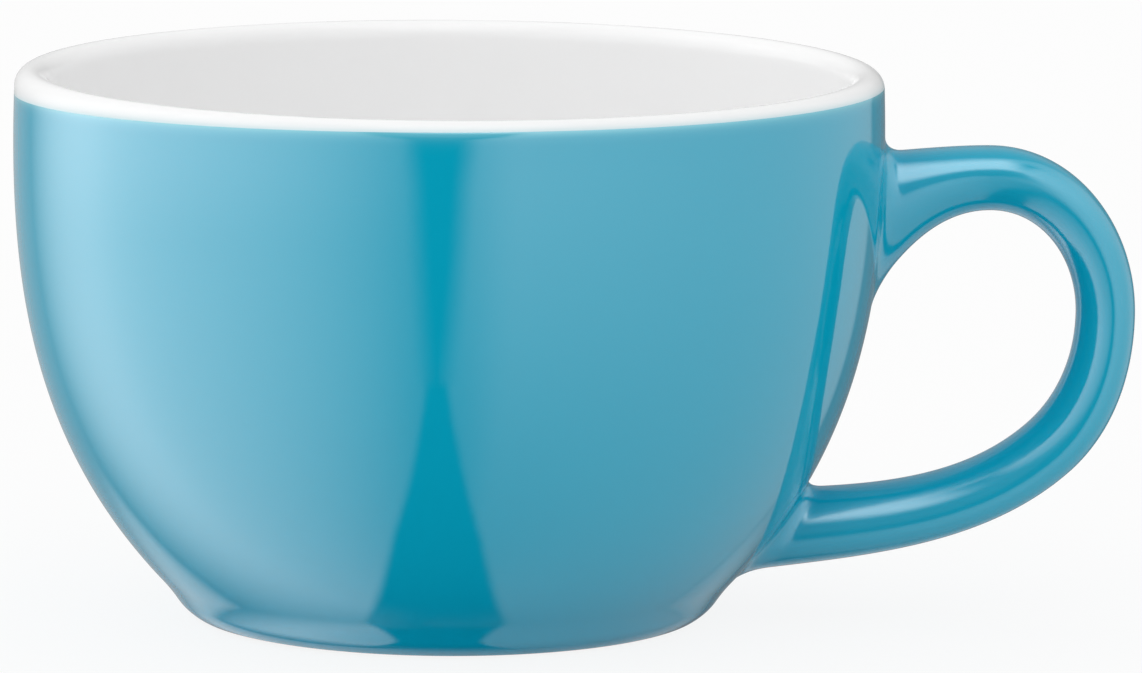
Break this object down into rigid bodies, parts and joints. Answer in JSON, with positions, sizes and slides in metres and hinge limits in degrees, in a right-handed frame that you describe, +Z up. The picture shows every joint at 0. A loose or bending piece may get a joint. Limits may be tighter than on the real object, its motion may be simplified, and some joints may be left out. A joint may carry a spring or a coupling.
{
  "type": "cappuccino cup",
  "caption": "Thick-walled ceramic cappuccino cup on a turned foot, with a luted loop handle, white glaze inside and over the round lip, and blue glaze outside.",
  "frame": {"origin": "centre of the foot ring, on the surface that the cup stands on", "axes": "+Z up out of the cup's mouth, +X from the cup's axis to the handle"},
  "size_m": [0.1294, 0.1002, 0.0635],
  "materials": {
    "fired_clay": "bare, finely sanded stoneware",
    "slip": "fired slip, hidden in the joints",
    "white_glaze": "glossy white glaze",
    "blue_glaze": "glossy turquoise-blue glaze"
  },
  "bodies": {
    "root": {"bowl": "fired_clay", "handle": "fired_clay", "upper_slip_joint": "slip", "lower_slip_joint": "slip", "white_lining_glaze": "white_glaze", "blue_bowl_glaze": "blue_glaze", "blue_handle_glaze": "blue_glaze", "blue_base_glaze": "blue_glaze"}
  },
  "joints": []
}
